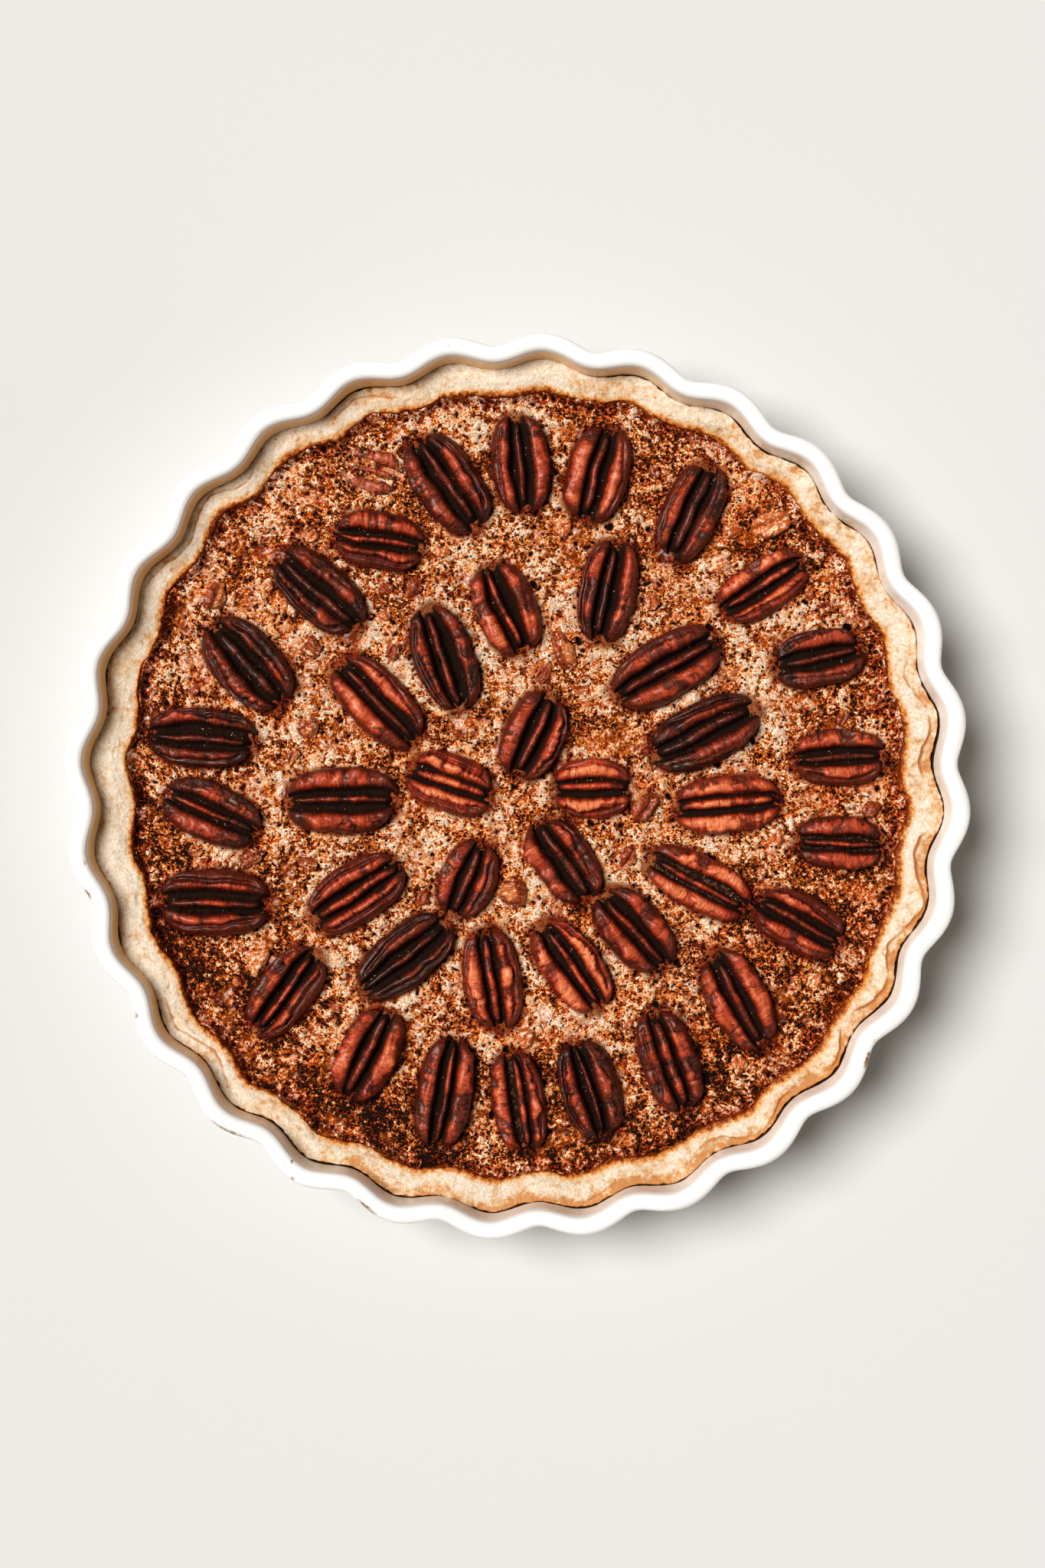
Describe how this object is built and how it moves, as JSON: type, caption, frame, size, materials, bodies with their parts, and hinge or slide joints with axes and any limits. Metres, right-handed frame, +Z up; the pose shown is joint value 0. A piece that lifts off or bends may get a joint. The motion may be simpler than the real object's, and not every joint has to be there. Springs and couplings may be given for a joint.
{
  "type": "pecan pie",
  "caption": "Round uncut pecan pie in its white fluted tart dish: pastry case, baked filling with chopped nuts, and rings of pecan halves on top.",
  "frame": {"origin": "middle of the dish's foot ring, on the surface the dish stands on", "axes": "+Z up along the dish's axis; +X and +Y are the picture's right and top, as seen from above"},
  "size_m": [0.2794, 0.2794, 0.038],
  "materials": {
    "porcelain": "white glaze, glossy",
    "pastry": "baked shortcrust, matte, speckled brown",
    "filling": "baked syrup and egg, crackled and pitted, sticky sheen",
    "pecan": "roasted nut skin, satin"
  },
  "bodies": {
    "root": {"tart_dish": "porcelain", "pastry_case": "pastry", "filling": "filling", "pecan_01": "pecan", "pecan_02": "pecan", "pecan_03": "pecan", "pecan_04": "pecan", "pecan_05": "pecan", "pecan_06": "pecan", "pecan_07": "pecan", "pecan_08": "pecan", "pecan_09": "pecan", "pecan_10": "pecan", "pecan_11": "pecan", "pecan_12": "pecan", "pecan_13": "pecan", "pecan_14": "pecan", "pecan_15": "pecan", "pecan_16": "pecan", "pecan_17": "pecan", "pecan_18": "pecan", "pecan_19": "pecan", "pecan_20": "pecan", "pecan_21": "pecan", "pecan_22": "pecan", "pecan_23": "pecan", "pecan_24": "pecan", "pecan_25": "pecan", "pecan_26": "pecan", "pecan_27": "pecan", "pecan_28": "pecan", "pecan_29": "pecan", "pecan_30": "pecan", "pecan_31": "pecan", "pecan_32": "pecan", "pecan_33": "pecan", "pecan_34": "pecan", "pecan_35": "pecan", "pecan_36": "pecan", "pecan_37": "pecan", "pecan_38": "pecan", "pecan_39": "pecan", "pecan_40": "pecan", "pecan_41": "pecan"}
  },
  "joints": []
}
